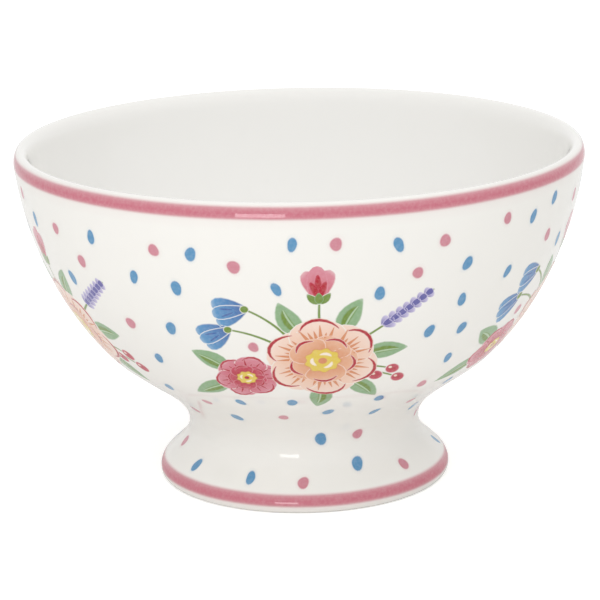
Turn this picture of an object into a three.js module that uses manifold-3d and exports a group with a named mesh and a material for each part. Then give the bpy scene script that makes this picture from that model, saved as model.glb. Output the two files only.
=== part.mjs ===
// A footed tea bowl in glazed ceramic. A wide round bowl is luted onto a hollow, flared foot. A band of
// colour runs under the lip and another round the foot, and flower transfers are laid round the wall.
// Millimetres, +Z up. The origin is the centre of the standing face, and the front faces -Y.

import * as THREE from "three";
import Module from "manifold-3d";

const wasm = await Module();
wasm.setup();

// Bowl. Heights are above the standing face.
const BOWL_HEIGHT = 93.6; // to the crest of the lip
const RIM_RADIUS = 77.4; // outside of the wall, where the lip begins
const WALL_THICKNESS = 4.6; // at the rim
const FLOOR_THICKNESS = 4.4; // in the middle of the bowl
const WALL_CENTRE_RISE = 6.7; // centre of the wall's ellipse, above the crest
const WALL_LOWEST = 13.1; // height where the outer ellipse would meet the axis
const NECK_TOP = 38; // height where the outer ellipse runs into the neck
const NECK_PULL_LOW = 9; // handle of the neck's curve at the waist
const NECK_PULL_HIGH = 11; // handle of the neck's curve at the wall

// Lip
const LIP_DROP_OUTSIDE = 4.2; // from the crest down to the outer wall
const LIP_DROP_INSIDE = 4.6; // from the crest down to the inner wall
const CREST_INSET = 1.7; // crest of the lip, in from the outside of the wall

// Foot
const WAIST_RADIUS = 31.95; // narrowest place, where foot and bowl are joined
const WAIST_HEIGHT = 15.2;
const FOOT_RADIUS = 40.25; // widest place
const FOOT_WIDEST_HEIGHT = 2.2;
const FLARE_PULL_LOW = 4.4; // handle of the flare's curve at the widest place
const FLARE_PULL_HIGH = 6.1; // handle of the flare's curve at the waist
const COLLAR_WALL = 4.7; // foot's wall at the joint
const COLLAR_DEPTH = 3; // straight bore below the joint
const HOLLOW_PULL = 4; // both handles of the hollow's curve
const STAND_INSET = 1.5; // standing ring, in from the widest place
const STAND_WIDTH = 2.8; // flat standing ring
const HOLLOW_ROUNDING = 1.2; // rounded edge inside the standing ring

// Joint of slip between foot and bowl
const LUTE_THICKNESS = 0.4;
const LUTE_BEAD = 1.6; // slip left in the corner inside the foot

// Bands of colour
const BAND_THICKNESS = 0.2;
const RIM_BAND_DROP = 1; // crest of the lip to the band
const RIM_BAND_WIDTH = 2.9;
const FOOT_BAND_HEIGHT = 2.1; // lower edge
const FOOT_BAND_WIDTH = 2.8;

// Flower transfers. Each is a posy of films of colour that overlap in layers and are bent to the wall: a
// large and a small rose, with sprigs round them. Lengths run along the wall, and headings are degrees from
// the right, seen from outside.
const POSY_COUNT = 5;
const POSY_CENTRE_HEIGHT = 52;
const ROSE_ACROSS = 5; // middle of the large rose, from the middle of the posy
const ROSE_UP = -3;
const ROSE_RADIUS = 14.5;
const ROSE_NOTCH = 2.2; // depth of the notches between the petals
const SMALL_ROSE_HEADING = 200; // seen from the large rose
const SMALL_ROSE_RADIUS = 8.5;
const SMALL_ROSE_NOTCH = 1.4;
const ROSE_PETALS = 6;
const ROSE_LEAF_HEADINGS = [63, 6, -52, -94, 119];
const SMALL_ROSE_LEAF_HEADINGS = [148, 214];
const LEAF_LENGTH = 12.5;
const LEAF_WIDTH = 6;
const BUD_HEADING = 92;
const BUD_LENGTH = 11;
const BUD_WIDTH = 8;
const BUD_STEM = 9;
const BELL_HEADINGS = [138, 156];
const BELL_LENGTH = 9;
const BELL_WIDTH = 7.5;
const BELL_STEM = 16;
const BELL_NOD = 55; // degrees, from its stem's heading
const SPIKE_HEADING = 35; // lavender
const SPIKE_LENGTH = 19;
const SPIKE_WIDTH = 4.4;
const SPIKE_STEM = 7;
const STEM_WIDTH = 1.4;
const FILM_OVERLAP = 2; // of a sprig with the flower or stem that carries it
const FILM_THICKNESS = 0.25;
const FILM_STEP = 0.08; // from one layer up to the next
const TRANSFER_CLEARANCE = 0.25; // between a transfer and the wall

// Fineness of the facets
const TURN_STEPS = 48; // round the axis
const NECK_STEPS = 8;
const WALL_STEPS = 12;
const LIP_STEPS = 6;
const FLARE_STEPS = 8;
const HOLLOW_STEPS = 6;
const EDGE_STEPS = 4;
const ROSE_RINGS = 3; // from the middle of a rose to its edge
const ROSE_STEPS = 24; // round its edge
const SPRIG_STEPS = 8; // round the edge of a leaf, bud, bell, spike or stem

const QUARTER_ROUND = 0.5523; // handle of a cubic curve that rounds a quarter turn
const POINTEDNESS = 1.6; // power of the ovals of the sprigs: 2 gives an ellipse, less a pointed leaf

// Heights and radii that follow from the sizes above
const centreHeight = BOWL_HEIGHT + WALL_CENTRE_RISE;
const seatHeight = WAIST_HEIGHT + LUTE_THICKNESS / 2;
const collarHeight = WAIST_HEIGHT - LUTE_THICKNESS / 2;
const floorHeight = seatHeight + FLOOR_THICKNESS;
const collarRadius = WAIST_RADIUS - COLLAR_WALL;
const standOuter = FOOT_RADIUS - STAND_INSET;
const standInner = standOuter - STAND_WIDTH;
const hollowRadius = standInner - HOLLOW_ROUNDING;
const rimBandHigh = BOWL_HEIGHT - RIM_BAND_DROP;
const rimBandLow = rimBandHigh - RIM_BAND_WIDTH;
const footBandHigh = FOOT_BAND_HEIGHT + FOOT_BAND_WIDTH;

// Outlines are lists of points whose x is the radius and whose y is the height.
const point = (radius, height) => new THREE.Vector2(radius, height);

// An ellipse about the axis, by its lowest height and the radius that it has at another height.
function wallEllipse(lowest, radius, height) {
  const deep = centreHeight - lowest;
  const wide = radius / Math.sqrt(1 - ((centreHeight - height) / deep) ** 2);
  const angleAt = (h) => -Math.asin((centreHeight - h) / deep);
  return {
    pointAt: (h) => point(wide * Math.cos(angleAt(h)), h),
    slopeAt: (h) => point(-wide * Math.sin(angleAt(h)), deep * Math.cos(angleAt(h))).normalize(),
    arc(from, to) {
      return new THREE.EllipseCurve(0, centreHeight, wide, deep, angleAt(from), angleAt(to), from > to);
    },
  };
}

// A cubic curve between two points, by the handle at each end.
function bend(start, startHandle, end, endHandle) {
  return new THREE.CubicBezierCurve(start, start.clone().add(startHandle), end.clone().add(endHandle), end);
}

// The points of curves that follow one another, each shared end given once.
function trace(...curves) {
  return curves.flatMap(([curve, steps], i) => curve.getPoints(steps).slice(i ? 1 : 0));
}

// The outline with a point added on it at the given height.
function withPointAt(outline, height) {
  const next = outline.findIndex((p) => p.y >= height);
  const before = outline[next - 1];
  const share = (height - before.y) / (outline[next].y - before.y);
  return [...outline.slice(0, next), before.clone().lerp(outline[next], share), ...outline.slice(next)];
}

// A body turned about Z from an outline that runs with its material on the left.
function turned(outline) {
  return new THREE.LatheGeometry(outline, TURN_STEPS).rotateX(Math.PI / 2);
}

// Outside of the bowl, from the seat up to the crest of the lip
function bowlOutside() {
  const lipStart = BOWL_HEIGHT - LIP_DROP_OUTSIDE;
  const wall = wallEllipse(WALL_LOWEST, RIM_RADIUS, lipStart);
  const neck = bend(
    point(WAIST_RADIUS, seatHeight), point(0, NECK_PULL_LOW),
    wall.pointAt(NECK_TOP), wall.slopeAt(NECK_TOP).multiplyScalar(-NECK_PULL_HIGH),
  );
  const lip = bend(
    wall.pointAt(lipStart), wall.slopeAt(lipStart).multiplyScalar(LIP_DROP_OUTSIDE * QUARTER_ROUND),
    point(RIM_RADIUS - CREST_INSET, BOWL_HEIGHT), point(CREST_INSET * QUARTER_ROUND, 0),
  );
  const outline = trace([neck, NECK_STEPS], [wall.arc(NECK_TOP, lipStart), WALL_STEPS], [lip, LIP_STEPS]);
  return withPointAt(withPointAt(outline, rimBandLow), rimBandHigh);
}

// Inside of the bowl, from the crest of the lip down to the middle of the floor
function bowlInside() {
  const lipEnd = BOWL_HEIGHT - LIP_DROP_INSIDE;
  const innerRadius = RIM_RADIUS - WALL_THICKNESS;
  const crestRadius = RIM_RADIUS - CREST_INSET;
  const wall = wallEllipse(floorHeight, innerRadius, lipEnd);
  const lip = bend(
    point(crestRadius, BOWL_HEIGHT), point((innerRadius - crestRadius) * QUARTER_ROUND, 0),
    wall.pointAt(lipEnd), wall.slopeAt(lipEnd).multiplyScalar(LIP_DROP_INSIDE * QUARTER_ROUND),
  );
  const outline = trace([lip, LIP_STEPS], [wall.arc(lipEnd, floorHeight), WALL_STEPS]);
  outline.at(-1).x = 0;
  return outline;
}

// Outside of the foot, from the standing ring up to the joint
function footOutside() {
  const edge = new THREE.QuadraticBezierCurve(
    point(standOuter, 0), point(FOOT_RADIUS, 0), point(FOOT_RADIUS, FOOT_WIDEST_HEIGHT),
  );
  const flare = bend(
    point(FOOT_RADIUS, FOOT_WIDEST_HEIGHT), point(0, FLARE_PULL_LOW),
    point(WAIST_RADIUS, collarHeight), point(0, -FLARE_PULL_HIGH),
  );
  const outline = trace([edge, EDGE_STEPS], [flare, FLARE_STEPS]);
  return withPointAt(withPointAt(outline, FOOT_BAND_HEIGHT), footBandHigh);
}

// Inside of the foot, from the joint down to the standing ring
function footInside() {
  const hollow = bend(
    point(collarRadius, collarHeight - COLLAR_DEPTH), point(0, -HOLLOW_PULL),
    point(hollowRadius, HOLLOW_ROUNDING), point(0, HOLLOW_PULL),
  );
  const edge = new THREE.QuadraticBezierCurve(
    point(hollowRadius, HOLLOW_ROUNDING), point(hollowRadius, 0), point(standInner, 0),
  );
  return [point(collarRadius, collarHeight), ...trace([hollow, HOLLOW_STEPS], [edge, EDGE_STEPS])];
}

// The ring of slip between the seat and the collar, with its hollow-faced bead inside the foot
function luteOutline() {
  const beadRadius = collarRadius - LUTE_BEAD;
  const beadHeight = seatHeight - LUTE_BEAD;
  const bead = new THREE.EllipseCurve(beadRadius, beadHeight, LUTE_BEAD, LUTE_BEAD, Math.PI / 2, 0, true);
  return [
    ...bead.getPoints(EDGE_STEPS),
    point(collarRadius, collarHeight),
    point(WAIST_RADIUS, collarHeight),
    point(WAIST_RADIUS, seatHeight),
    point(beadRadius, seatHeight),
  ];
}

// A coat of colour on the outside of an outline, between two heights that have points on it
function bandOutline(outline, low, high) {
  const first = outline.findIndex((p) => p.y >= low);
  const last = outline.findIndex((p) => p.y >= high);
  const under = outline.slice(first, last + 1);
  const coat = under.map((p, i) => {
    const along = outline[first + i + 1].clone().sub(outline[first + i - 1]).normalize();
    return point(p.x + along.y * BAND_THICKNESS, p.y - along.x * BAND_THICKNESS);
  });
  return [...coat, ...under.reverse(), coat[0]];
}

// The place on an outline at a distance along it, with the direction out of the surface there
function alongOutline(outline, distance) {
  let left = distance;
  let i = 0;
  while (i < outline.length - 2 && left > outline[i].distanceTo(outline[i + 1])) {
    left -= outline[i].distanceTo(outline[i + 1]);
    i += 1;
  }
  const along = outline[i + 1].clone().sub(outline[i]).normalize();
  return { place: outline[i].clone().addScaledVector(along, left), out: point(along.y, -along.x) };
}

// The distance along an outline to a height that it passes
function distanceTo(outline, height) {
  const cut = withPointAt(outline, height);
  const count = cut.findIndex((p) => p.y >= height);
  return cut.slice(1, count + 1).reduce((sum, p, i) => sum + p.distanceTo(cut[i]), 0);
}

// The place at a heading and a distance from a spot on a flat sheet
function toward({ across, up }, heading, distance) {
  const angle = THREE.MathUtils.degToRad(heading);
  return { across: across + distance * Math.cos(angle), up: up + distance * Math.sin(angle) };
}

// A rose: round its middle, its reach drops into a notch between every two petals.
function roseFilm(middle, radius, notch) {
  const reach = (angle) => radius - notch * (1 - Math.abs(Math.sin((ROSE_PETALS * angle) / 2)));
  return { ...middle, edge: radius - notch, reach, lean: 0, rings: ROSE_RINGS, steps: ROSE_STEPS, layer: 2 };
}

// A pointed oval that grows from a root, such as a leaf or a stem.
function sprigFilm(root, heading, length, width, layer) {
  const lean = THREE.MathUtils.degToRad(heading);
  const reach = (angle) => {
    const along = Math.abs(Math.cos(angle - lean)) / (length / 2);
    const aside = Math.abs(Math.sin(angle - lean)) / (width / 2);
    return (along ** POINTEDNESS + aside ** POINTEDNESS) ** (-1 / POINTEDNESS);
  };
  return { ...toward(root, heading, length / 2), reach, lean, rings: 1, steps: SPRIG_STEPS, layer };
}

// A leaf that grows from under a rose
function leafFilm(rose, heading) {
  return sprigFilm(toward(rose, heading, rose.edge - FILM_OVERLAP), heading, LEAF_LENGTH, LEAF_WIDTH, 1);
}

// A stem that grows from under a rose, and what it carries, which may nod
function stemFilms(rose, heading, stem, length, width, nod = 0) {
  const root = toward(rose, heading, rose.edge - FILM_OVERLAP);
  const end = toward(rose, heading, rose.edge + stem - FILM_OVERLAP);
  return [
    sprigFilm(root, heading, FILM_OVERLAP + stem, STEM_WIDTH, 0),
    sprigFilm(toward(end, heading + nod, -FILM_OVERLAP / 2), heading + nod, length, width, 1),
  ];
}

// The films of a posy
function posyFilms() {
  const rose = roseFilm({ across: ROSE_ACROSS, up: ROSE_UP }, ROSE_RADIUS, ROSE_NOTCH);
  const apart = rose.edge + SMALL_ROSE_RADIUS;
  const smallRose = roseFilm(toward(rose, SMALL_ROSE_HEADING, apart), SMALL_ROSE_RADIUS, SMALL_ROSE_NOTCH);
  const bell = (heading) => stemFilms(rose, heading, BELL_STEM, BELL_LENGTH, BELL_WIDTH, BELL_NOD);
  return [
    rose,
    { ...smallRose, layer: 1 },
    ...ROSE_LEAF_HEADINGS.map((heading) => leafFilm(rose, heading)),
    ...SMALL_ROSE_LEAF_HEADINGS.map((heading) => ({ ...leafFilm(smallRose, heading), layer: 0 })),
    ...BELL_HEADINGS.flatMap(bell),
    ...stemFilms(rose, SPIKE_HEADING, SPIKE_STEM, SPIKE_LENGTH, SPIKE_WIDTH),
    ...stemFilms(rose, BUD_HEADING, BUD_STEM, BUD_LENGTH, BUD_WIDTH),
  ];
}

// A film bent to the wall as a solid, with the middle of its sheet turned to the given direction
function bentFilm(film, outline, facing) {
  const middle = distanceTo(outline, POSY_CENTRE_HEIGHT) + film.up;
  const low = TRANSFER_CLEARANCE + film.layer * FILM_STEP;
  const positions = [];
  const faces = [];
  for (const lift of [low, low + FILM_THICKNESS]) {
    for (let ring = 0; ring <= film.rings; ring += 1) {
      for (let step = 0; step < (ring ? film.steps : 1); step += 1) {
        const angle = film.lean + (2 * Math.PI * step) / film.steps;
        const reach = (film.reach(angle) * ring) / film.rings;
        const { place, out } = alongOutline(outline, middle + reach * Math.sin(angle));
        const turn = facing + (film.across + reach * Math.cos(angle)) / place.x;
        const radius = place.x + out.x * lift;
        positions.push(radius * Math.cos(turn), radius * Math.sin(turn), place.y + out.y * lift);
      }
    }
  }
  const sheet = 1 + film.rings * film.steps;
  const at = (ring, step) => (ring ? 1 + (ring - 1) * film.steps + (step % film.steps) : 0);
  const addFace = (a, b, c) => faces.push(c, b, a, a + sheet, b + sheet, c + sheet);
  for (let step = 0; step < film.steps; step += 1) {
    addFace(at(0, 0), at(1, step), at(1, step + 1));
    for (let ring = 1; ring < film.rings; ring += 1) {
      addFace(at(ring, step), at(ring + 1, step), at(ring + 1, step + 1));
      addFace(at(ring, step), at(ring + 1, step + 1), at(ring, step + 1));
    }
    const near = at(film.rings, step);
    const far = at(film.rings, step + 1);
    faces.push(near, far, far + sheet, near, far + sheet, near + sheet);
  }
  const vertProperties = new Float32Array(positions);
  const triVerts = new Uint32Array(faces);
  return new wasm.Manifold(new wasm.Mesh({ numProp: 3, vertProperties, triVerts }));
}

// The films of a posy, joined to one body
function posyGeometry(outline, facing) {
  const films = posyFilms().map((film) => bentFilm(film, outline, facing));
  const { vertProperties, triVerts } = films.reduce((posy, film) => posy.add(film)).getMesh();
  const geometry = new THREE.BufferGeometry();
  geometry.setAttribute("position", new THREE.BufferAttribute(vertProperties, 3));
  geometry.setIndex(new THREE.BufferAttribute(triVerts, 1));
  geometry.computeVertexNormals();
  return geometry;
}

const glazedWhite = { color: "#f4f2ee", roughness: 0.1, metalness: 0 };
const driedSlip = { color: "#e8e3da", roughness: 0.7, metalness: 0 };
const duskyPink = { color: "#cf7f8c", roughness: 0.12, metalness: 0 };
const printedRose = { color: "#dd8f96", roughness: 0.12, metalness: 0 };

const teaBowl = new THREE.Group();

function add(name, geometry, finish) {
  const mesh = new THREE.Mesh(geometry, new THREE.MeshStandardMaterial(finish));
  mesh.name = name;
  teaBowl.add(mesh);
}

const bowlOuter = bowlOutside();
const footOuter = footOutside();

add("bowl", turned([point(0, seatHeight), ...bowlOuter, ...bowlInside().slice(1)]), glazedWhite);
add("pedestal_foot", turned([...footOuter, ...footInside(), footOuter[0]]), glazedWhite);
add("lute_ring", turned(luteOutline()), driedSlip);
add("rim_band", turned(bandOutline(bowlOuter, rimBandLow, rimBandHigh)), duskyPink);
add("foot_band", turned(bandOutline(footOuter, FOOT_BAND_HEIGHT, footBandHigh)), duskyPink);
for (let i = 0; i < POSY_COUNT; i += 1) {
  const facing = -Math.PI / 2 + (2 * Math.PI * i) / POSY_COUNT;
  add(`posy_transfer_${i + 1}`, posyGeometry(bowlOuter, facing), printedRose);
}

export default teaBowl;
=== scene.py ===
# %% [markdown]
# # A footed tea bowl in glazed stoneware
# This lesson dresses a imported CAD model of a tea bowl: a wide round bowl luted onto a flared foot, glazed
# white, with a pink band under the lip and another round the foot, and a print of posies and dots. The CAD
# model is loaded first and stays where it is. Everything made here is in metres and in its frame.

import math
import random
from bisect import bisect_left
from itertools import accumulate, pairwise

import bmesh
import bpy
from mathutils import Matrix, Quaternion, Vector, kdtree


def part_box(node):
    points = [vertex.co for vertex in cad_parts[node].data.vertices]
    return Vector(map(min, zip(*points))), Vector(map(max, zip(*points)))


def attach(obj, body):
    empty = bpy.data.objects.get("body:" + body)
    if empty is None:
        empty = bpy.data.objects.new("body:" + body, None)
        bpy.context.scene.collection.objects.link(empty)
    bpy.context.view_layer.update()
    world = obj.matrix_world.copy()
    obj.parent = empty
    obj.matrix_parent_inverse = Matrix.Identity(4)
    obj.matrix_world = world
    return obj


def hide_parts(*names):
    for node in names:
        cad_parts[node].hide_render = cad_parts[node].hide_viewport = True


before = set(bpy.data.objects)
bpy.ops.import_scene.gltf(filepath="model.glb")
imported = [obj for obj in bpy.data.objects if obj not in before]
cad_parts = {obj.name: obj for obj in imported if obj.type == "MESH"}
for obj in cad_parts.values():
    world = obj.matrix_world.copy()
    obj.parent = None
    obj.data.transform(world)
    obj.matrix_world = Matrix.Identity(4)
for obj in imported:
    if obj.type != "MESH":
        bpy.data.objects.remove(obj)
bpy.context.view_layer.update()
MM = 0.001

# %% [markdown]
# ## Sizes
# The heights and radii come from the boxes of the CAD nodes, so the pieces made here fit them. Only what a
# box can't tell is written down again, such as the thickness of the wall and the handles of the curves.

# %% Read the sizes
bowl_low, bowl_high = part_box("bowl")
foot_low, foot_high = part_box("pedestal_foot")
lute_low, lute_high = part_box("lute_ring")
rim_band_low, rim_band_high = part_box("rim_band")
foot_band_low, foot_band_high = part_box("foot_band")

LIP_HEIGHT = bowl_high.z
SEAT_HEIGHT = bowl_low.z
COLLAR_HEIGHT = foot_high.z
FOOT_RADIUS = foot_high.x
WAIST_RADIUS = lute_high.x
RIM_RADIUS = 77.4 * MM

WALL_THICKNESS = 4.6 * MM
FLOOR_THICKNESS = 4.4 * MM
WALL_CENTRE = LIP_HEIGHT + 6.7 * MM
WALL_LOWEST = 13.1 * MM
NECK_TOP = 38 * MM
NECK_PULL_LOW, NECK_PULL_HIGH = 9 * MM, 11 * MM
LIP_DROP_OUTSIDE, LIP_DROP_INSIDE, CREST_INSET = 4.2 * MM, 4.6 * MM, 1.7 * MM
FOOT_WIDEST = 2.2 * MM
FLARE_PULL_LOW, FLARE_PULL_HIGH = 4.4 * MM, 6.1 * MM
COLLAR_RADIUS = WAIST_RADIUS - 4.7 * MM
COLLAR_DEPTH, HOLLOW_PULL, HOLLOW_ROUNDING = 3 * MM, 4 * MM, 1.2 * MM
STAND_OUTER = FOOT_RADIUS - 1.5 * MM
STAND_INNER = STAND_OUTER - 2.8 * MM
QUARTER_ROUND = 0.5523
print(f"bowl {LIP_HEIGHT / MM:.1f} mm tall, foot {2 * FOOT_RADIUS / MM:.1f} mm across")

# %% [markdown]
# ## Outlines
# Everything on the potter's wheel is an outline turned about an axis. An outline is a list of points, each a
# radius and a height. The wall is part of an ellipse, and the neck, the foot's flare and the lip are cubic
# curves that leave their neighbours in the same direction, so that the glaze shows no crease.


# %% Curves for outlines
def bezier(points, share):
    """The place at a share of the way along the curve with these control points."""
    while len(points) > 1:
        points = [a.lerp(b, share) for a, b in zip(points, points[1:])]
    return points[0]


def curve(points, steps):
    return [bezier(points, i / steps) for i in range(steps + 1)]


def bend(start, start_handle, end, end_handle, steps):
    return curve([start, start + start_handle, end + end_handle, end], steps)


def wall_ellipse(lowest, radius, height):
    """An ellipse about the axis, by its lowest height and its radius at another height. Gives functions for
    the angle at a height, and for the point and the direction at an angle."""
    deep = WALL_CENTRE - lowest
    wide = radius / math.sqrt(1 - ((WALL_CENTRE - height) / deep) ** 2)

    def angle_at(h):
        return -math.asin(min(1, (WALL_CENTRE - h) / deep))

    def point_at(angle):
        return Vector((wide * math.cos(angle), WALL_CENTRE + deep * math.sin(angle)))

    def direction_at(angle):
        return Vector((-wide * math.sin(angle), deep * math.cos(angle))).normalized()

    return angle_at, point_at, direction_at


def arc_of(ellipse, start, end, steps):
    angle_at, point_at, _ = ellipse
    first, last = angle_at(start), angle_at(end)
    return [point_at(first + (last - first) * i / steps) for i in range(steps + 1)]


# %% [markdown]
# The bowl has two outlines, outside and inside, that meet on the crest of the lip. The foot is a closed
# ring: its outside runs from the standing face up to the waist, and its inside down round the hollow.

# %% Outlines of the bowl and the foot
NECK_STEPS, WALL_STEPS, LIP_STEPS, INNER_LIP_STEPS = 40, 60, 20, 10
FLARE_STEPS, HOLLOW_STEPS, EDGE_STEPS, INNER_EDGE_STEPS = 40, 24, 12, 8


def bowl_outside():
    lip_start = LIP_HEIGHT - LIP_DROP_OUTSIDE
    wall = wall_ellipse(WALL_LOWEST, RIM_RADIUS, lip_start)
    angle_at, point_at, direction_at = wall
    neck_end, wall_end = angle_at(NECK_TOP), angle_at(lip_start)
    waist = Vector((WAIST_RADIUS, SEAT_HEIGHT))
    crest = Vector((RIM_RADIUS - CREST_INSET, LIP_HEIGHT))
    neck = bend(waist, Vector((0, NECK_PULL_LOW)),
                point_at(neck_end), -NECK_PULL_HIGH * direction_at(neck_end), NECK_STEPS)
    lip = bend(point_at(wall_end), QUARTER_ROUND * LIP_DROP_OUTSIDE * direction_at(wall_end),
               crest, Vector((QUARTER_ROUND * CREST_INSET, 0)), LIP_STEPS)
    return neck + arc_of(wall, NECK_TOP, lip_start, WALL_STEPS)[1:] + lip[1:]


def bowl_inside():
    lip_end = LIP_HEIGHT - LIP_DROP_INSIDE
    inner = RIM_RADIUS - WALL_THICKNESS
    wall = wall_ellipse(SEAT_HEIGHT + FLOOR_THICKNESS, inner, lip_end)
    angle_at, point_at, direction_at = wall
    crest = Vector((RIM_RADIUS - CREST_INSET, LIP_HEIGHT))
    lip = bend(crest, Vector((QUARTER_ROUND * (inner - crest.x), 0)),
               point_at(angle_at(lip_end)),
               QUARTER_ROUND * LIP_DROP_INSIDE * direction_at(angle_at(lip_end)), INNER_LIP_STEPS)
    floor = arc_of(wall, lip_end, SEAT_HEIGHT + FLOOR_THICKNESS, WALL_STEPS)
    floor[-1].x = 0
    return lip + floor[1:]


def foot_outside():
    widest = Vector((FOOT_RADIUS, FOOT_WIDEST))
    edge = curve([Vector((STAND_OUTER, 0)), Vector((FOOT_RADIUS, 0)), widest], EDGE_STEPS)
    flare = bend(widest, Vector((0, FLARE_PULL_LOW)),
                 Vector((WAIST_RADIUS, COLLAR_HEIGHT)), Vector((0, -FLARE_PULL_HIGH)), FLARE_STEPS)
    return edge + flare[1:]


def foot_inside():
    collar = Vector((COLLAR_RADIUS, COLLAR_HEIGHT))
    hollow_end = Vector((STAND_INNER - HOLLOW_ROUNDING, HOLLOW_ROUNDING))
    hollow = bend(collar - Vector((0, COLLAR_DEPTH)), Vector((0, -HOLLOW_PULL)),
                  hollow_end, Vector((0, HOLLOW_PULL)), HOLLOW_STEPS)
    edge = curve([hollow_end, Vector((hollow_end.x, 0)), Vector((STAND_INNER, 0))], INNER_EDGE_STEPS)
    return [collar] + hollow + edge[1:]


bowl_outer = bowl_outside()
foot_outer = foot_outside()
print(f"outlines: {len(bowl_outer)} points up the bowl, {len(foot_outer)} up the foot")

# %% [markdown]
# ## Turning
# A Screw modifier could turn an outline too. Here the rings of vertices are made directly, because that
# closes the surface on the axis and round a ring in one function. Corners sharper than 35 degrees stay
# sharp, and the rest is shaded smooth, as a glaze is.

# %% Turn an outline into a piece
TURNS = 240
CREASE = math.radians(35)


def finished(name, mesh, body="root"):
    """A shaded, placed piece that rides on a body of the frame."""
    mesh.shade_smooth()
    mesh.set_sharp_from_angle(angle=CREASE)
    piece = bpy.data.objects.new(name, mesh)
    bpy.context.scene.collection.objects.link(piece)
    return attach(piece, body) or piece


def turned(name, outline, loop=False):
    """Turns an outline about the axis. Its material lies on the left as the outline is followed."""
    mesh = bmesh.new()
    rings = []
    for radius, height in outline:
        spokes = TURNS if radius > 0 else 1
        angles = [2 * math.pi * k / TURNS for k in range(spokes)]
        rings.append([mesh.verts.new((radius * math.cos(a), radius * math.sin(a), height)) for a in angles])
    for low, high in zip(rings, rings[1:] + (rings[:1] if loop else [])):
        for k in range(TURNS):
            here, there = k, (k + 1) % TURNS
            corners = [low[here % len(low)], low[there % len(low)],
                       high[there % len(high)], high[here % len(high)]]
            mesh.faces.new(list(dict.fromkeys(corners)))
    data = bpy.data.meshes.new(name)
    mesh.to_mesh(data)
    mesh.free()
    return finished(name, data)


# %% [markdown]
# ## Colours and nodes
# Colours are written as sRGB hex values, the way a paint chart gives them. One function turns them to the
# linear values that Blender's sockets take. A second one adds a shader node with its settings and links, and
# the rest are the nodes that come up again and again: a blend of two colours, a noise and a change of range.


# %% Colour and node helpers
def linear(hex_colour):
    values = [int(hex_colour[i:i + 2], 16) / 255 for i in (1, 3, 5)]
    return [v / 12.92 if v <= 0.04045 else ((v + 0.055) / 1.055) ** 2.4 for v in values] + [1]


def add_node(tree, kind, sockets=None, **settings):
    """Adds a node. A socket, by name or number, takes a value, or a link from another node's output."""
    node = tree.nodes.new(kind)
    for name, value in settings.items():
        setattr(node, name, value)
    for key, value in (sockets or {}).items():
        if isinstance(value, bpy.types.NodeSocket):
            tree.links.new(value, node.inputs[key])
        else:
            node.inputs[key].default_value = value
    return node


def blend(tree, share, below, above):
    """The colour between two others at a share."""
    return add_node(tree, "ShaderNodeMix", {0: share, 6: below, 7: above}, data_type="RGBA").outputs[2]


def noise(tree, place, size, detail):
    """The level of a noise whose features are about this many millimetres wide, in object coordinates."""
    sockets = {"Vector": place, "Scale": 1 / (size * MM), "Detail": detail}
    return add_node(tree, "ShaderNodeTexNoise", sockets).outputs["Fac"]


def ranged(tree, value, low, high, start=0, end=1):
    """A value that runs from start to end, mapped onto low to high."""
    sockets = {"Value": value, "From Min": start, "From Max": end, "To Min": low, "To Max": high}
    return add_node(tree, "ShaderNodeMapRange", sockets).outputs["Result"]


def empty_material(name):
    material = bpy.data.materials.new(name)
    material.use_nodes = True
    material.node_tree.nodes.clear()
    return material, material.node_tree


# %% [markdown]
# ## Glaze
# The bowl is white stoneware under a clear gloss glaze: a milky, faintly ivory body seen through a layer of
# glass. The eye reads it by its sharp, slightly wavy reflections. The glaze flowed when it melted, so its
# face has ripples some 9 mm long and only a few micrometres deep, and its gloss varies a little. A band or a
# printed flower is colour under the same glaze, so all of them share this one recipe: what is printed only
# changes the colour below, by two attributes that the printed meshes carry, ink and cover. Inside, the bowl
# has a whiter liner glaze, which a third attribute blends in across the lip.

# %% Glazed stoneware, plain or printed
IVORY, MILK, LINER = "#F1EFEA", "#F0EEE9", "#F4F3F0"
GLAZE_IOR = 1.5
GLAZE_ROUGHNESS = (0.02, 0.05)
RIPPLE_MM, RIPPLE_DEPTH_MM = 9, 0.006
CLOUD_MM, MOTTLE_MM = 28, 0.9
MOTTLE, MOTTLE_SPAN = (0.93, 1.0), (0.3, 0.6)


def glazed_stoneware(name, printed=False):
    material, tree = empty_material(name)
    place = add_node(tree, "ShaderNodeTexCoord").outputs["Object"]
    clouds = noise(tree, place, CLOUD_MM, 2)
    liner = add_node(tree, "ShaderNodeAttribute", attribute_name="liner").outputs["Fac"]
    body = blend(tree, liner, blend(tree, clouds, linear(IVORY), linear(MILK)), linear(LINER))
    if printed:
        ink = add_node(tree, "ShaderNodeAttribute", attribute_name="ink").outputs["Color"]
        cover = add_node(tree, "ShaderNodeAttribute", attribute_name="cover").outputs["Fac"]
        density = ranged(tree, noise(tree, place, MOTTLE_MM, 3), *MOTTLE, *MOTTLE_SPAN)
        laid = add_node(tree, "ShaderNodeMath", {0: cover, 1: density}, operation="MULTIPLY").outputs[0]
        body = blend(tree, laid, body, ink)
    relief = add_node(tree, "ShaderNodeBump", {"Height": noise(tree, place, RIPPLE_MM, 1),
                                               "Distance": RIPPLE_DEPTH_MM * MM, "Strength": 1})
    shader = add_node(tree, "ShaderNodeBsdfPrincipled",
                      {"Base Color": body, "Roughness": ranged(tree, clouds, *GLAZE_ROUGHNESS),
                       "IOR": GLAZE_IOR, "Normal": relief.outputs["Normal"]})
    add_node(tree, "ShaderNodeOutputMaterial", {"Surface": shader.outputs["BSDF"]})
    return material


white_glaze = glazed_stoneware("glazed_white_stoneware")
printed_glaze = glazed_stoneware("printed_colour_under_glaze", printed=True)
print("glazes:", white_glaze.name, "and", printed_glaze.name)

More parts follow.
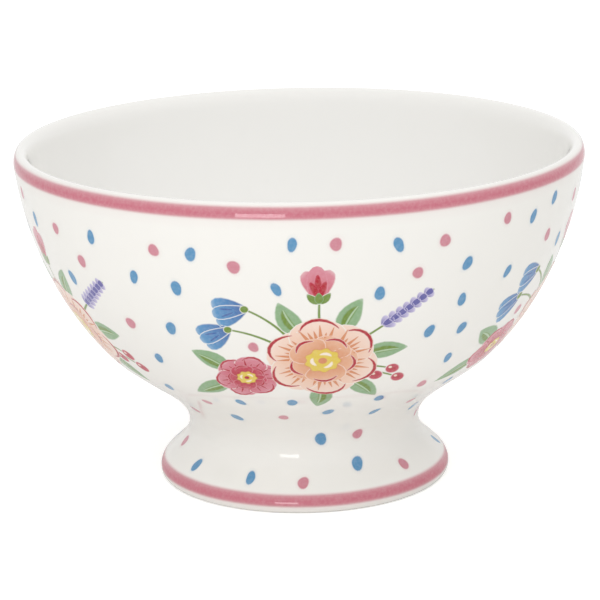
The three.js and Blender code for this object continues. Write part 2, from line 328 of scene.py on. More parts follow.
# %% [markdown]
# ## Bare clay
# The standing ring is wiped clean of glaze before firing, or the bowl would fuse to the kiln shelf. Bare
# stoneware is matt and slightly sandy, with grains about 0.4 mm wide that show as specks and as relief.

# %% Bare stoneware
BISCUIT, BISCUIT_SHADE = "#E4DCCD", "#CFC4B1"
CLAY_ROUGHNESS = 0.8
GRAIN_MM, GRAIN_DEPTH_MM = 0.4, 0.03


def bare_stoneware(name):
    material, tree = empty_material(name)
    place = add_node(tree, "ShaderNodeTexCoord").outputs["Object"]
    grain = noise(tree, place, GRAIN_MM, 4)
    clay = blend(tree, grain, linear(BISCUIT_SHADE), linear(BISCUIT))
    relief = add_node(tree, "ShaderNodeBump",
                      {"Height": grain, "Distance": GRAIN_DEPTH_MM * MM, "Strength": 1})
    shader = add_node(tree, "ShaderNodeBsdfPrincipled",
                      {"Base Color": clay, "Roughness": CLAY_ROUGHNESS, "Normal": relief.outputs["Normal"]})
    add_node(tree, "ShaderNodeOutputMaterial", {"Surface": shader.outputs["BSDF"]})
    return material


bare_clay = bare_stoneware("bare_stoneware")
print("clay:", bare_clay.name)

# %% [markdown]
# ## Bowl, foot and joint
# Foot and bowl were shaped apart and joined with slip at the waist, then sponged smooth and glazed over, so
# no seam shows outside. The bowl's skin therefore runs down over the slip to the foot, where both stand
# upright. From below, the slip shows as a glazed bead in the corner between foot and bowl.

# %% Make the three clay pieces
SKIN = 0.8 * MM
BEAD, BEAD_STEPS = 1.6 * MM, 6
STAND_FACE = 0.15 * MM


def lined(place):
    """How far the liner glaze covers a place: fully inside, not at all outside, in between on the lip."""
    radius = math.hypot(place.x, place.y)
    if place.z > LIP_HEIGHT - LIP_DROP_INSIDE:
        return min(1, max(0, (RIM_RADIUS - radius) / WALL_THICKNESS))
    wall_here = min(bowl_outer, key=lambda p: abs(p.y - place.z))
    above_floor = place.z > SEAT_HEIGHT + FLOOR_THICKNESS / 2
    return float(above_floor and radius < wall_here.x - WALL_THICKNESS / 2)


skin_top = Vector((WAIST_RADIUS - SKIN, SEAT_HEIGHT))
skin_bottom = Vector((WAIST_RADIUS - SKIN, COLLAR_HEIGHT))
skin_edge = [skin_top, skin_bottom, Vector((WAIST_RADIUS, COLLAR_HEIGHT))]
bowl = turned("glazed_bowl", [Vector((0, SEAT_HEIGHT))] + skin_edge + bowl_outer + bowl_inside()[1:])
bowl.data.materials.append(white_glaze)
liner = bowl.data.attributes.new("liner", "FLOAT", "POINT")
liner.data.foreach_set("value", [lined(vertex.co) for vertex in bowl.data.vertices])
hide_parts("bowl")

foot = turned("glazed_foot", foot_outer + foot_inside(), loop=True)
foot.data.materials.append(white_glaze)
foot.data.materials.append(bare_clay)
for face in foot.data.polygons:
    face.material_index = int(face.center.z < STAND_FACE)
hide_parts("pedestal_foot")

bead_centre = Vector((COLLAR_RADIUS - BEAD, SEAT_HEIGHT - BEAD))
bead_turns = [math.pi / 2 * (1 - i / BEAD_STEPS) for i in range(BEAD_STEPS + 1)]
bead_face = [bead_centre + BEAD * Vector((math.cos(a), math.sin(a))) for a in bead_turns]
lute_outline = bead_face + [Vector((COLLAR_RADIUS, COLLAR_HEIGHT)), skin_bottom, skin_top]
lute = turned("slip_joint", lute_outline, loop=True)
lute.data.materials.append(white_glaze)
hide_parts("lute_ring")
print("clay pieces:", [(p.name, len(p.data.polygons)) for p in (bowl, foot, lute)])

# %% [markdown]
# ## Printing on a round wall
# A transfer is drawn flat and laid on a curved wall. Here each shape is drawn in millimetres on a flat
# sheet, across and up, and every vertex is then put on the wall: up is measured along the outline, and
# across is measured round it. The alternative, painting by shader alone, would need a node for every petal.

# %% A wall to print on
class Surface:
    """The outside of a turned outline, as a place to print on. Up is counted from a height."""

    def __init__(self, outline, height):
        self.outline = outline
        self.lengths = list(accumulate(((b - a).length for a, b in zip(outline, outline[1:])), initial=0))
        self.start = self.length_to(height)

    def length_to(self, height):
        """The length along the outline up to a height."""
        k = next(i for i, p in enumerate(self.outline) if p.y >= height and i > 0)
        low, high = self.outline[k - 1], self.outline[k]
        share = (height - low.y) / (high.y - low.y)
        return self.lengths[k - 1] + share * (self.lengths[k] - self.lengths[k - 1])

    def place(self, facing, across, up, lift):
        """The point at these lengths from the middle of a sheet that faces an angle about the axis."""
        wanted = min(max(self.start + up, 0), self.lengths[-1])
        k = max(bisect_left(self.lengths, wanted), 1)
        low, high = self.outline[k - 1], self.outline[k]
        along = (high - low).normalized()
        spot = low + along * (wanted - self.lengths[k - 1])
        angle = facing + across / spot.x
        radius, height = spot.x + along.y * lift, spot.y - along.x * lift
        return Vector((radius * math.cos(angle), radius * math.sin(angle), height))


POSY_HEIGHT = 52 * MM
wall = Surface(bowl_outer, POSY_HEIGHT)
foot_side = Surface(foot_outer, FOOT_WIDEST)
print(f"the wall is {wall.lengths[-1] / MM:.0f} mm long from waist to lip")

# %% [markdown]
# Each shape is a thin closed film. It starts just off the wall and ends on its own layer, a few thousandths
# of a millimetre above the last, so that no gap shows under it from the side. A film knows its ink and how
# far the ink covers the glaze at each vertex, and all films of a piece are joined to one mesh.

# %% Films on a sheet
FILM_FOOT, FILM_LIFT, LAYER_LIFT = 0.008 * MM, 0.02 * MM, 0.006 * MM


class Sheet:
    """Shapes drawn flat in millimetres, gathered for one piece."""

    def __init__(self, surface, facing=0.0):
        self.surface, self.facing = surface, facing
        self.verts, self.faces, self.inks, self.covers = [], [], [], []

    def film(self, rows, layer, form):
        """Adds a closed film from rows of (across, up, ink, cover). The rows of a strip run from edge to
        edge, those of a disc are rings about a middle, and those of a hoop go right round the bowl."""
        first, wide, high = len(self.verts), len(rows[0]), len(rows)
        lift = FILM_LIFT + layer * LAYER_LIFT
        for height in (lift, FILM_FOOT):
            for across, up, ink, cover in (mark for row in rows for mark in row):
                self.verts.append(self.surface.place(self.facing, across * MM, up * MM, height))
                self.inks.append(ink)
                self.covers.append(cover)

        def at(row, column):
            return first + row * wide + column % wide

        def quad(row, column):
            return at(row, column), at(row, column + 1), at(row + 1, column + 1), at(row + 1, column)

        columns = range(wide - 1 if form == "strip" else wide)
        top = [quad(r, c) for r in range(high - 1) for c in columns]
        inner, outer = [at(0, c) for c in range(wide)], [at(high - 1, c) for c in range(wide)]
        if form == "disc":
            top = [face[::-1] for face in top] + [tuple(inner)]
            rims = [outer]
        elif form == "hoop":
            rims = [inner, outer[::-1]]
        else:
            right, left = [at(r, wide - 1) for r in range(high)], [at(r, 0) for r in range(high)]
            rims = [inner[:-1] + right[:-1] + outer[:0:-1] + left[:0:-1]]
        below = wide * high
        self.faces += top + [tuple(v + below for v in face[::-1]) for face in top]
        for rim in rims:
            self.faces += [(b, a, a + below, b + below) for a, b in zip(rim, rim[1:] + rim[:1])]

    def piece(self, name, slot):
        mesh = bpy.data.meshes.new(name)
        mesh.from_pydata(self.verts, [], self.faces)
        inks = mesh.attributes.new("ink", "FLOAT_COLOR", "POINT")
        inks.data.foreach_set("color", [value for ink in self.inks for value in ink])
        covers = mesh.attributes.new("cover", "FLOAT", "POINT")
        covers.data.foreach_set("value", self.covers)
        mesh.materials.append(printed_glaze)
        piece = finished(name, mesh)
        return piece


# %% [markdown]
# ## Brushes
# Ceramic colour spreads a little into the glaze, so no edge is sharp. Two brushes draw everything: a ribbon
# along a curved spine, for leaves, petals, stems and strokes, and a blob about a middle, for dots and round
# shapes. Both fade over their last few tenths of a millimetre, either into the glaze, by cover, or into the
# colour below, if a ground is named. Fine strokes fade over less than broad ones. A blob can also have a
# halo, a faint wide edge.

# %% The two brushes
STEP, HAIR = 1.2, 0.03
SOFT, STEM_SOFT, FINE_SOFT = 0.42, 0.3, 0.25
HALO_STRENGTH = 0.1
LENGTH_SAMPLES, WIDTH_SAMPLES, FEWEST_STATIONS = 24, 20, 8
NUDGE, THINNEST_CORE, MIDDLE_RING = 0.01, 0.1, 0.6


def mixed(a, b, share):
    return [x + (y - x) * share for x, y in zip(a, b)]


def inked(ink, ground, strength):
    """Ink and cover of a vertex: faded into the glaze, or into the ground colour."""
    return (ink, strength) if ground is None else (mixed(ground, ink, strength), 1.0)


def ribbon(sheet, spine, half_width, ink, layer, tip=None, ground=None, soft=SOFT):
    """Colour along a spine of control points. half_width gives millimetres at a share of the length."""
    points = [Vector(p) for p in spine]
    length = sum((b - a).length for a, b in pairwise(curve(points, LENGTH_SAMPLES)))
    stations = max(FEWEST_STATIONS, round(length / STEP))
    widest = max(half_width(i / WIDTH_SAMPLES) for i in range(WIDTH_SAMPLES + 1))
    inner = max(2, round(2 * widest / STEP))
    rows = []
    for i in range(stations + 1):
        share = (1 - math.cos(math.pi * i / stations)) / 2
        middle = bezier(points, share)
        along = bezier(points, min(share + NUDGE, 1)) - bezier(points, max(share - NUDGE, 0))
        side = Vector((along.y, -along.x)).normalized()
        half = max(half_width(share) + soft / 2, HAIR)
        core = max(1 - soft / half, THINNEST_CORE)
        strength = min(1, share * length / soft, (1 - share) * length / soft)
        colour = mixed(ink, tip or ink, share)
        offsets = [-1] + [core * (2 * k / inner - 1) for k in range(inner + 1)] + [1]
        spots = [(middle + side * half * offset, strength * (abs(offset) < 1)) for offset in offsets]
        rows.append([(spot.x, spot.y, *inked(colour, ground, level)) for spot, level in spots])
    sheet.film(rows, layer, "strip")


def blob(sheet, centre, radius, ink, layer, rim=None, ground=None, soft=SOFT, outline=None, spokes=20,
         halo=0.0):
    """Colour about a middle. outline gives the share of the radius at an angle, if it isn't round."""
    reach = radius + soft / 2
    steps = max(2, round((reach - soft) / STEP))
    core = (reach - soft) / reach
    rings = [(core * (k + MIDDLE_RING) / (steps + MIDDLE_RING), 1) for k in range(steps + 1)]
    rings += [(1, HALO_STRENGTH), (1 + halo / reach, 0)] if halo else [(1, 0)]
    angles = [2 * math.pi * k / spokes for k in range(spokes)]
    rows = []
    for share, strength in rings:
        colour = mixed(ink, rim or ink, min(share, 1))
        spots = [polar(centre, a, reach * share * (outline(a) if outline else 1)) for a in angles]
        rows.append([(*spot, *inked(colour, ground, strength)) for spot in spots])
    sheet.film(rows, layer, "disc")


# %% [markdown]
# A brush mark's width changes along its length. These small functions give the half widths of the usual
# marks at a share of their length, and the spines that they follow.


# %% Widths and spines of brush marks
def leaf_width(width):
    return lambda s: width / 2 * math.sin(math.pi * s ** 0.85) ** 0.85


def petal_width(width, root=0.3, shoulder=0.6):
    def half(s):
        rise = root + (1 - root) * math.sin(math.pi / 2 * min(s / shoulder, 1))
        close = math.sqrt(max(0, 1 - max(0, (s - shoulder) / (1 - shoulder)) ** 2))
        return width / 2 * rise * close
    return half


def stroke_width(width):
    return lambda s: width / 2 * math.sin(math.pi * s) ** 0.6


def wedge_width(width):
    return lambda s: width / 2 * (1 - s) ** 0.7


def stem_width(width):
    return lambda s: width / 2 * (1 - 0.35 * s)


def polar(centre, angle, radius):
    return centre[0] + radius * math.cos(angle), centre[1] + radius * math.sin(angle)


def bowed(start, end, bow):
    """A spine from start to end that bows to the left by a share of its length."""
    dx, dy = end[0] - start[0], end[1] - start[1]
    return [start, ((start[0] + end[0]) / 2 - dy * bow, (start[1] + end[1]) / 2 + dx * bow), end]


# %% [markdown]
# ## Flowers
# The posy is a plain cottage-garden design: a full rose, a smaller one, harebells, lavender, a rosebud,
# berries and leaves. Each motif is a short function of the brushes, so that it can be set anywhere. The inks
# are the usual ceramic range: iron reds and pinks, straw, manganese violet, cobalt and chrome green.

# %% Inks
CRIMSON, ROSE, PINK, BLUSH = linear("#AE0A26"), linear("#C4485F"), linear("#D58C9A"), linear("#F2DACD")
APRICOT, PEACH, CREAM, STRAW = linear("#D3885C"), linear("#E8B697"), linear("#F5E6D6"), linear("#DFC44E")
VIOLET, LILAC, SKY, COBALT = linear("#5F5CA0"), linear("#CFC6E4"), linear("#5C98C6"), linear("#3E63A2")
SAGE, MOSS, PALE_GREEN = linear("#88AB80"), linear("#6C8A32"), linear("#B4CBA6")
BAND_PINK, DOT_PINK, DOT_BLUE = linear("#C66E7E"), linear("#CC8492"), linear("#5690BB")

# %% [markdown]
# A leaf is three marks: a broad one, a darker one along one side for the shade, and a thin pale midrib. A
# stem tapers a little from its root to its end, as a pointed brush leaves it.


# %% Stems and leaves
def stem(sheet, spine, width=0.8):
    ribbon(sheet, spine, stem_width(width), MOSS, 0, soft=STEM_SOFT)


def leaf(sheet, root, heading, length, width, bow, layer=1):
    """A leaf with a dark side and a pale midrib."""
    tip, heel, point = (polar(root, heading, length * share) for share in (1, 0.1, 0.8))
    ribbon(sheet, bowed(root, tip, bow), leaf_width(width), SAGE, layer)
    shade, midrib = bowed(heel, point, bow + 0.13), bowed(heel, point, bow)
    ribbon(sheet, shade, stroke_width(width * 0.36), MOSS, layer + 1, ground=SAGE)
    ribbon(sheet, midrib, stroke_width(0.36), PALE_GREEN, layer + 2, ground=SAGE, soft=FINE_SOFT)


# %% [markdown]
# A full rose has two rings of petals round a yellow heart. An outer petal is a broad ribbon that pales
# towards its tip, with a thin dark lip and a fan of fine veins. The inner petals keep more of the stain,
# and fade to a pale rim, so that each one shows against the next. A bud is a few such petals seen from the
# side, in a green cup.

# %% Roses
ROSE_PETALS, INNER_PETALS, CURLS = 6, 5, 3


def rose(sheet, centre, radius, turn, deep, stain, mid, pale, veins, layer):
    """A rose in four inks, from the deep one of the lips to the pale one of the petals' tips."""

    def spots(angle, *places):
        """Points by their angles from one angle, and by their shares of the radius."""
        return [polar(centre, angle + aside, radius * share) for aside, share in places]

    for k in range(ROSE_PETALS):
        angle = turn + 2 * math.pi * k / ROSE_PETALS
        petal = bowed(*spots(angle, (0, 0.25), (0.1, 1)), 0.05)
        ribbon(sheet, petal, petal_width(radius, 0.5, 0.5), mid, layer + k % 2, tip=pale)
        lip = spots(angle, (-0.4, 0.82), (-0.1, 1.1), (0.3, 1.1), (0.5, 0.8))
        ribbon(sheet, lip, stroke_width(radius * 0.065), deep, layer + 2, ground=pale, soft=FINE_SOFT)
        for v in range(veins):
            aside = 0.1 + 0.9 / veins * (v - (veins - 1) / 2)
            reach = 0.8 + 0.09 * math.cos(2.4 * v + k)
            vein = spots(angle, (aside * 0.8, 0.45), (aside, reach))
            ribbon(sheet, vein, wedge_width(radius * 0.1), stain, layer + 2, ground=pale, soft=FINE_SOFT)
    for k in range(INNER_PETALS):
        angle = turn + 0.35 + 2 * math.pi * k / INNER_PETALS
        petal = bowed(*spots(angle, (0, 0.1), (0.15, 0.62)), 0.08)
        half_width = petal_width(radius * 0.72, 0.5, 0.5)
        ribbon(sheet, petal, half_width, stain, layer + 3 + k % 2, tip=mid, ground=pale)
        fold = spots(angle, (-0.3, 0.52), (0.15, 0.7), (0.58, 0.5))
        ribbon(sheet, fold, stroke_width(radius * 0.06), deep, layer + 5, ground=pale, soft=FINE_SOFT)
    blob(sheet, centre, radius * 0.3, STRAW, layer + 6, ground=stain, spokes=40,
         outline=lambda a: 1 + 0.08 * math.cos(9 * a + turn))
    for k in range(CURLS):
        curl = spots(turn + 2.1 * k, (0, 0.19), (0.7, 0.24), (1.4, 0.16))
        ribbon(sheet, curl, stroke_width(radius * 0.07), CREAM, layer + 7, ground=STRAW, soft=FINE_SOFT)
    blob(sheet, centre, radius * 0.08, stain, layer + 7, ground=STRAW, soft=FINE_SOFT, spokes=12)


def rosebud(sheet, root, heading, length, width):
    """A closed bud seen from the side, with its green cup."""

    def towards(turn, share):
        return polar(root, heading + turn, length * share)

    for turn in (0.4, -0.4):
        side = bowed(root, towards(turn, 0.92), -0.6 * turn)
        ribbon(sheet, side, petal_width(width * 0.62, 0.4, 0.62), ROSE, 2, tip=PINK)
    middle = bowed(root, towards(0, 1), 0.04)
    ribbon(sheet, middle, petal_width(width * 0.62, 0.5, 0.55), ROSE, 3, tip=PINK, ground=PINK)
    for turn, share in ((0.3, 0.62), (-0.3, 0.62), (0, 0.78)):
        flame = bowed(towards(0, 0.12), towards(turn, share), -0.2 * turn)
        ribbon(sheet, flame, stroke_width(width * 0.2), CRIMSON, 4, ground=ROSE, soft=STEM_SOFT)
    for turn in (0.75, -0.75):
        sepal = bowed(root, towards(turn, 0.4), 0.12 * turn)
        ribbon(sheet, sepal, leaf_width(width * 0.26), MOSS, 5, soft=STEM_SOFT)
    cup = bowed(root, towards(0, 0.3), 0)
    ribbon(sheet, cup, leaf_width(width * 0.26), MOSS, 6, ground=SAGE, soft=STEM_SOFT)


# %% [markdown]
# The small flowers fill the edge of the posy: harebells that nod from bowed stems, a spike of lavender, and
# berries with a gleam. The petals of a bell fade into the glaze, which leaves a fine white line where two
# overlap, as a painter leaves one between two wet strokes.

# %% Harebells, lavender and berries
BUD_SOFT = 0.32


def harebell(sheet, root, heading, length, width):
    """A nodding bell of three pointed petals, dark at the stalk."""
    for turn, layer in ((0.36, 2), (-0.36, 2), (0, 3)):
        spine = bowed(root, polar(root, heading + turn, length * (0.97 + 0.03 * abs(turn))), 0.28 * turn)
        ribbon(sheet, spine, petal_width(width * 0.56, 0.45, 0.72), COBALT, layer, tip=SKY)
    for turn in (0.2, -0.2):
        line = [polar(root, heading + turn * 0.6, length * 0.3), polar(root, heading + turn, length * 0.75)]
        ribbon(sheet, line, stroke_width(length * 0.08), COBALT, 4, ground=SKY, soft=FINE_SOFT)
    blob(sheet, root, length * 0.12, MOSS, 4, soft=STEM_SOFT, spokes=12)


def lavender(sheet, root, heading, stalk, length, width, tiers):
    """A spike of small buds in threes on a stalk, with pale side buds."""
    stem(sheet, [root, polar(root, heading, stalk + length)], width=0.7)
    bud_width = petal_width(width * 0.42, 0.5, 0.55)
    for k in range(tiers):
        share = k / (tiers - 1)
        foot_of = polar(root, heading, stalk + length * (0.1 + 0.75 * share))
        size = width * (0.8 - 0.25 * share)
        for turn in (0.7, -0.7):
            side = bowed(foot_of, polar(foot_of, heading + turn, size), 0.1)
            ribbon(sheet, side, bud_width, VIOLET, 1, tip=LILAC, soft=BUD_SOFT)
        middle = bowed(foot_of, polar(foot_of, heading, size), 0.1)
        ribbon(sheet, middle, bud_width, VIOLET, 3, ground=LILAC, soft=BUD_SOFT)


def berry(sheet, centre, radius):
    blob(sheet, centre, radius, CRIMSON, 2, rim=ROSE)
    gleam = (centre[0] - radius * 0.3, centre[1] + radius * 0.35)
    blob(sheet, gleam, radius * 0.26, BLUSH, 3, ground=CRIMSON, soft=STEM_SOFT, spokes=12)


# %% [markdown]
# The posy repeats the layout of the CAD transfers: headings are degrees from the right, and lengths are
# millimetres. The sprigs grow from under the edge of a rose. The berries are too small for the solids, and
# are added here. The same transfer is laid on five times.

# %% The posy
ROSE_AT, ROSE_RADIUS, ROSE_NOTCH = (5, -3), 14.5, 2.2
SMALL_ROSE_HEADING, SMALL_ROSE_RADIUS, SMALL_ROSE_NOTCH = 200, 8.5, 1.4
ROSE_LEAF_HEADINGS, SMALL_ROSE_LEAF_HEADINGS = (63, 6, -52, -94, 119), (148, 214)
LEAF_LENGTH, LEAF_WIDTH = 12.5, 6.0
BUD_HEADING, BUD_STEM, BUD_LENGTH, BUD_WIDTH = 92, 9, 11, 8
BELL_HEADINGS, BELL_STEM, BELL_LENGTH, BELL_WIDTH, BELL_NOD = (138, 156), 16, 9, 7.5, 55
SPIKE_HEADING, SPIKE_STEM, SPIKE_LENGTH, SPIKE_WIDTH, SPIKE_TIERS = 35, 7, 19, 4.4, 7
BERRIES, BERRY_RADIUS = ((-17, 9), (-29, 5.5), (-26, 12)), 1.9
OVERLAP = 2


def posy(sheet):
    edge = ROSE_RADIUS - ROSE_NOTCH
    small_edge = SMALL_ROSE_RADIUS - SMALL_ROSE_NOTCH
    small_rose_at = polar(ROSE_AT, math.radians(SMALL_ROSE_HEADING), edge + SMALL_ROSE_RADIUS)

    def grown(heading, stem_length, bow):
        """Draws a stem from under the large rose and gives its end and heading."""
        angle = math.radians(heading)
        end = polar(ROSE_AT, angle, edge + stem_length - OVERLAP)
        stem(sheet, bowed(polar(ROSE_AT, angle, edge - OVERLAP), end, bow))
        return end, angle

    for heading in ROSE_LEAF_HEADINGS:
        angle = math.radians(heading)
        leaf(sheet, polar(ROSE_AT, angle, edge - OVERLAP), angle, LEAF_LENGTH, LEAF_WIDTH, 0.1)
    for heading in SMALL_ROSE_LEAF_HEADINGS:
        angle = math.radians(heading)
        leaf(sheet, polar(small_rose_at, angle, small_edge - OVERLAP), angle, LEAF_LENGTH, LEAF_WIDTH, -0.1)
    for heading in BELL_HEADINGS:
        end, angle = grown(heading, BELL_STEM, -0.16)
        harebell(sheet, end, angle + math.radians(BELL_NOD), BELL_LENGTH, BELL_WIDTH)
    angle = math.radians(SPIKE_HEADING)
    spike_root = polar(ROSE_AT, angle, edge - OVERLAP)
    lavender(sheet, spike_root, angle, SPIKE_STEM, SPIKE_LENGTH, SPIKE_WIDTH, SPIKE_TIERS)
    end, angle = grown(BUD_HEADING, BUD_STEM, 0.05)
    rosebud(sheet, end, angle, BUD_LENGTH, BUD_WIDTH)
    for heading, distance in BERRIES:
        end, angle = grown(heading, distance, 0.1)
        berry(sheet, end, BERRY_RADIUS)
    rose(sheet, small_rose_at, SMALL_ROSE_RADIUS, 0.2, CRIMSON, CRIMSON, ROSE, PINK, veins=3, layer=4)
    rose(sheet, ROSE_AT, ROSE_RADIUS, 0.55, CRIMSON, APRICOT, PEACH, BLUSH, veins=6, layer=12)


FRONT = -math.pi / 2
posy_nodes = sorted(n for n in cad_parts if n.startswith("posy_transfer_"))
posies = []
for k, node in enumerate(posy_nodes):
    sheet = Sheet(wall, FRONT + 2 * math.pi * k / len(posy_nodes))
    posy(sheet)
    piece = sheet.piece(f"posy_print_{k + 1}", "print_colours")
    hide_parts(node)
    posies.append(piece)
print("posies:", [(p.name, len(p.data.polygons)) for p in posies])

# %% [markdown]
# ## Bands
# A band is painted by holding a loaded brush against the turning bowl. The colour runs a little before it
# dries, so the band is strongest below its middle and thins out towards its upper edge. Its edges bleed
# softly, it wanders a little in height, and a faint blush spreads into the glaze below it, but never as far
# as the standing face. The profile gives the strength of the colour at shares of the band's width, from its
# lower edge at 0 to its upper edge at 1.

# %% Paint the bands
BAND_PROFILE = ((-1.0, 0), (-0.3, 0.05), (-0.12, 0.13), (0.07, 0.84), (0.2, 0.96), (0.42, 1), (0.72, 0.93),
                (0.9, 0.81), (1.1, 0.16), (1.22, 0))
BAND_WANDER, BAND_WAVES = 0.05, (1, 2, 3, 5, 8, 13)
BAND_STEP, BAND_MARGIN = 0.3, 0.6


def band(name, node, surface, low, high, seed):
    """A hoop of colour between two heights on a surface, with a faint blush below it."""
    chance = random.Random(seed)
    waves = [(n, chance.uniform(0, 2 * math.pi), chance.uniform(0.3, 1) / n ** 0.5) for n in BAND_WAVES]
    start, end = ((surface.length_to(h) - surface.start) / MM for h in (low, high))
    lowest = BAND_MARGIN - surface.start / MM
    marks = [(max(start + (end - start) * share, lowest), strength) for share, strength in BAND_PROFILE]
    levels = []
    for (up, strength), (next_up, next_strength) in pairwise(marks):
        steps = math.ceil((next_up - up) / BAND_STEP)
        levels += [(up + (next_up - up) * i / steps, strength + (next_strength - strength) * i / steps)
                   for i in range(steps)]
    levels.append(marks[-1])
    rows = []
    for up, strength in levels:
        row = []
        for k in range(TURNS):
            angle = 2 * math.pi * k / TURNS
            wander = BAND_WANDER * sum(size * math.sin(n * angle + shift) for n, shift, size in waves)
            radius = surface.place(0, 0, (up + wander) * MM, 0).x / MM
            row.append((angle * radius, up + wander, BAND_PINK, strength))
        rows.append(row)
    sheet = Sheet(surface)
    sheet.film(rows, 0, "hoop")
    piece = sheet.piece(name, "band_colour")
    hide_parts(node)
    return piece


rim_band = band("rim_band_print", "rim_band", wall, rim_band_low.z, rim_band_high.z, seed=3)
foot_band = band("foot_band_print", "foot_band", foot_side, foot_band_low.z, foot_band_high.z, seed=8)
print("bands:", rim_band.name, foot_band.name)

# %% [markdown]
# ## Dots
# Between the posies the bowl and the foot are strewn with dots: upright blue ovals about 4 mm long, and
# rounder pink ones. They are thrown at random, with a fixed seed, and a throw counts only if it lands clear
# of the flowers and of other dots. A dot mostly takes the colour that its nearest neighbour lacks, and blue
# more often than pink. On the foot they lie further apart. A form gives a dot's ink, its radius in
# millimetres, and the narrowest and widest that its oval may be.

# %% Strew the dots
DOT_FORMS = {"blue": (DOT_BLUE, 2.1, 0.56, 0.72), "pink": (DOT_PINK, 1.75, 0.76, 0.95)}
DOT_SPREAD, DOT_LEAN, DOT_LUMP = 0.15, math.radians(25), 0.04
WALL_SPACING, FOOT_SPACING = 10.2 * MM, 14 * MM
FLOWER_CLEARANCE = 3.4 * MM
ABOVE_WAIST, BELOW_LIP = 3, 9
ABOVE_FOOT_EDGE, BELOW_WAIST = 6.5, 4
DOT_HALO = 0.9
DOT_TRIES, DOT_SEED = 5000, 407
SWITCH_CHANCE = {"pink": 0.9, "blue": 0.55}
NO_NEIGHBOUR = (1, "pink")
chance = random.Random(DOT_SEED)

petal_tree = kdtree.KDTree(sum(len(p.data.vertices) for p in posies))
for piece in posies:
    for vertex in piece.data.vertices:
        petal_tree.insert(vertex.co, vertex.index)
petal_tree.balance()


def dot(sheet, up, colour):
    """A dot of one of the two kinds, with a size, a lean and a lump of its own."""
    ink, radius, narrowest, widest = DOT_FORMS[colour]
    size = radius + chance.uniform(-DOT_SPREAD, DOT_SPREAD)
    oval, lump = chance.uniform(narrowest, widest), chance.uniform(0, 6)
    lean = math.pi / 2 + chance.uniform(-DOT_LEAN, DOT_LEAN)

    def outline(angle):
        ellipse = oval / math.hypot(oval * math.cos(angle - lean), math.sin(angle - lean))
        return ellipse * (1 + DOT_LUMP * math.cos(3 * angle + lump))

    blob(sheet, (0, up), size, ink, 0, halo=DOT_HALO, outline=outline)


def strew(name, surface, lowest, highest, spacing):
    """A piece with dots all round, between two lengths in millimetres along the outline."""
    sheet = Sheet(surface)
    dots = []
    widest = max(p.x for p in surface.outline)
    for _ in range(DOT_TRIES):
        up, angle, keep = chance.uniform(lowest, highest), chance.uniform(0, 2 * math.pi), chance.random()
        spot = surface.place(angle, 0, up * MM, 0)
        if keep > math.hypot(spot.x, spot.y) / widest or petal_tree.find(spot)[2] < FLOWER_CLEARANCE:
            continue
        near, colour = min((((spot - other).length, kind) for other, kind in dots), default=NO_NEIGHBOUR)
        if near < spacing:
            continue
        if chance.random() < SWITCH_CHANCE[colour]:
            colour = "pink" if colour == "blue" else "blue"
        dots.append((spot, colour))
        sheet.facing = angle
        dot(sheet, up, colour)
    print(f"{name}: {len(dots)} dots")
    return sheet.piece(name, "print_colours")


wall_up = (wall.lengths[-1] - wall.start) / MM
foot_up = (foot_side.lengths[-1] - foot_side.start) / MM
wall_dots = strew("wall_dots", wall, ABOVE_WAIST - wall.start / MM, wall_up - BELOW_LIP, WALL_SPACING)
foot_dots = strew("foot_dots", foot_side, ABOVE_FOOT_EDGE, foot_up - BELOW_WAIST, FOOT_SPACING)

# %% [markdown]
# ## Floor, light and camera
# The bowl stands on a white floor in a white room, which fills it with even light. The camera and the
# reflections see the room as pure white. The floor is plain white paint that glows a little for the camera,
# and less in reflections, so that it meets the white background but keeps the shadow under the foot. A plain
# grey floor under stronger lamps would do the same, but would light the bowl too much.

# %% Floor
FLOOR_HALF = 4.0
FLOOR_WHITE = "#FAFAF9"
CAMERA_GLOW, MIRRORED_GLOW = 0.34, 0.05


def seen(tree, by_camera, mirrored, by_others):
    """A level for rays from the camera, one in reflections and through glass, and one for all others."""
    path = add_node(tree, "ShaderNodeLightPath").outputs
    mirror = add_node(tree, "ShaderNodeMath", {0: path["Is Glossy Ray"], 1: path["Is Transmission Ray"]},
                      operation="MAXIMUM").outputs[0]
    return ranged(tree, path["Is Camera Ray"], ranged(tree, mirror, by_others, mirrored), by_camera)


floor_mesh = bpy.data.meshes.new("floor")
corners = [(x * FLOOR_HALF, y * FLOOR_HALF, 0) for x, y in ((-1, -1), (1, -1), (1, 1), (-1, 1))]
floor_mesh.from_pydata(corners, [], [(0, 1, 2, 3)])
floor = bpy.data.objects.new("floor", floor_mesh)
bpy.context.scene.collection.objects.link(floor)

floor_paint, tree = empty_material("white_floor_paint")
glow = add_node(tree, "ShaderNodeEmission", {"Strength": seen(tree, CAMERA_GLOW, MIRRORED_GLOW, 0)})
paint = add_node(tree, "ShaderNodeBsdfDiffuse", {"Color": linear(FLOOR_WHITE)})
both = add_node(tree, "ShaderNodeAddShader", {0: paint.outputs[0], 1: glow.outputs[0]})
add_node(tree, "ShaderNodeOutputMaterial", {"Surface": both.outputs[0]})
floor_mesh.materials.append(floor_paint)
print(f"floor: {2 * FLOOR_HALF:.0f} m wide")

# %% [markdown]
# The room has no walls: the world's colour stands for them. It is white to the camera and in the glaze, and
# dimmer as light, so that the lamps can still shape the bowl.

# %% World
ROOM_LIGHT = 0.74
world = bpy.data.worlds.new("white_studio")
world.use_nodes = True
world.node_tree.nodes.clear()
room = add_node(world.node_tree, "ShaderNodeBackground",
                {"Color": (1, 1, 1, 1), "Strength": seen(world.node_tree, 1, 1, ROOM_LIGHT)})
add_node(world.node_tree, "ShaderNodeOutputWorld", {"Surface": room.outputs[0]})
bpy.context.scene.world = world
print("world:", world.name)

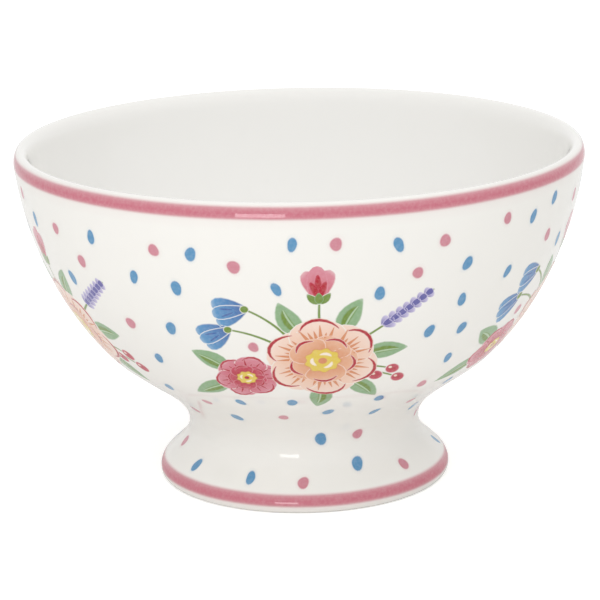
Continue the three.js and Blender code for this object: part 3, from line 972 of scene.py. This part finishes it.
# %% [markdown]
# Four softboxes shape the bowl from the front left, the front, above and low down. They are kept out of
# reflections, as no lamp is mirrored inside the bowl. A low strip left of the camera shows in reflections
# only: it gives the small bright marks on the lip and the foot, and the near lip hides it from the inside.
# Azimuth 0 is the camera's side, and left is minus. A radiance of 1 is as bright as white.

# %% Lamps
AIM_AT = Vector((0, 0, 0.05))


def softbox(name, azimuth, elevation, distance, width, height, radiance, mirrored=False):
    """A rectangular lamp at a direction from the bowl, facing it."""
    lamp = bpy.data.lights.new(name, "AREA")
    lamp.shape, lamp.size, lamp.size_y = "RECTANGLE", width, height
    lamp.energy = radiance * math.pi * width * height
    rig = bpy.data.objects.new(name, lamp)
    a, e = math.radians(azimuth), math.radians(elevation)
    out = Vector((math.sin(a) * math.cos(e), -math.cos(a) * math.cos(e), math.sin(e)))
    rig.location = AIM_AT + distance * out
    rig.rotation_mode = "QUATERNION"
    rig.rotation_quaternion = out.to_track_quat("Z", "Y")
    rig.visible_glossy, rig.visible_diffuse = mirrored, not mirrored
    bpy.context.scene.collection.objects.link(rig)


softbox("front_left_softbox", azimuth=-24, elevation=38, distance=1.6, width=1.3, height=1.1, radiance=0.72)
softbox("front_softbox", azimuth=-8, elevation=26, distance=1.6, width=1.6, height=0.6, radiance=0.64)
softbox("overhead_softbox", azimuth=105, elevation=70, distance=1.5, width=1.2, height=1.2, radiance=0.95)
softbox("low_softbox", azimuth=-14, elevation=1.5, distance=0.5, width=0.155, height=0.12, radiance=2.6)
softbox("low_strip", azimuth=-14, elevation=1.5, distance=0.48, width=0.149, height=0.115, radiance=5,
        mirrored=True)

# %% [markdown]
# The camera stands where the photographer's did: three quarters of a metre from the foot and 19 degrees up,
# with a long lens, and tilted a little.

# %% Camera
CAMERA_DISTANCE = 0.7544
CAMERA_ELEVATION, CAMERA_ROLL = math.radians(18.71), math.radians(-1.1)
CAMERA_AIM = Vector((-0.0005, 0, 0.0483))
LENS, SENSOR = 160.7, 36.0

camera = bpy.data.objects.new("camera", bpy.data.cameras.new("camera"))
camera.data.lens, camera.data.sensor_width = LENS, SENSOR
camera.location = CAMERA_DISTANCE * Vector((0, -math.cos(CAMERA_ELEVATION), math.sin(CAMERA_ELEVATION)))
camera.rotation_mode = "QUATERNION"
look = (CAMERA_AIM - camera.location).to_track_quat("-Z", "Y")
camera.rotation_quaternion = look @ Quaternion((0, 0, 1), CAMERA_ROLL)
bpy.context.scene.collection.objects.link(camera)
bpy.context.scene.camera = camera
bpy.context.scene.view_settings.view_transform = "Standard"
print(f"camera {CAMERA_DISTANCE:.2f} m away, {LENS:.0f} mm lens")
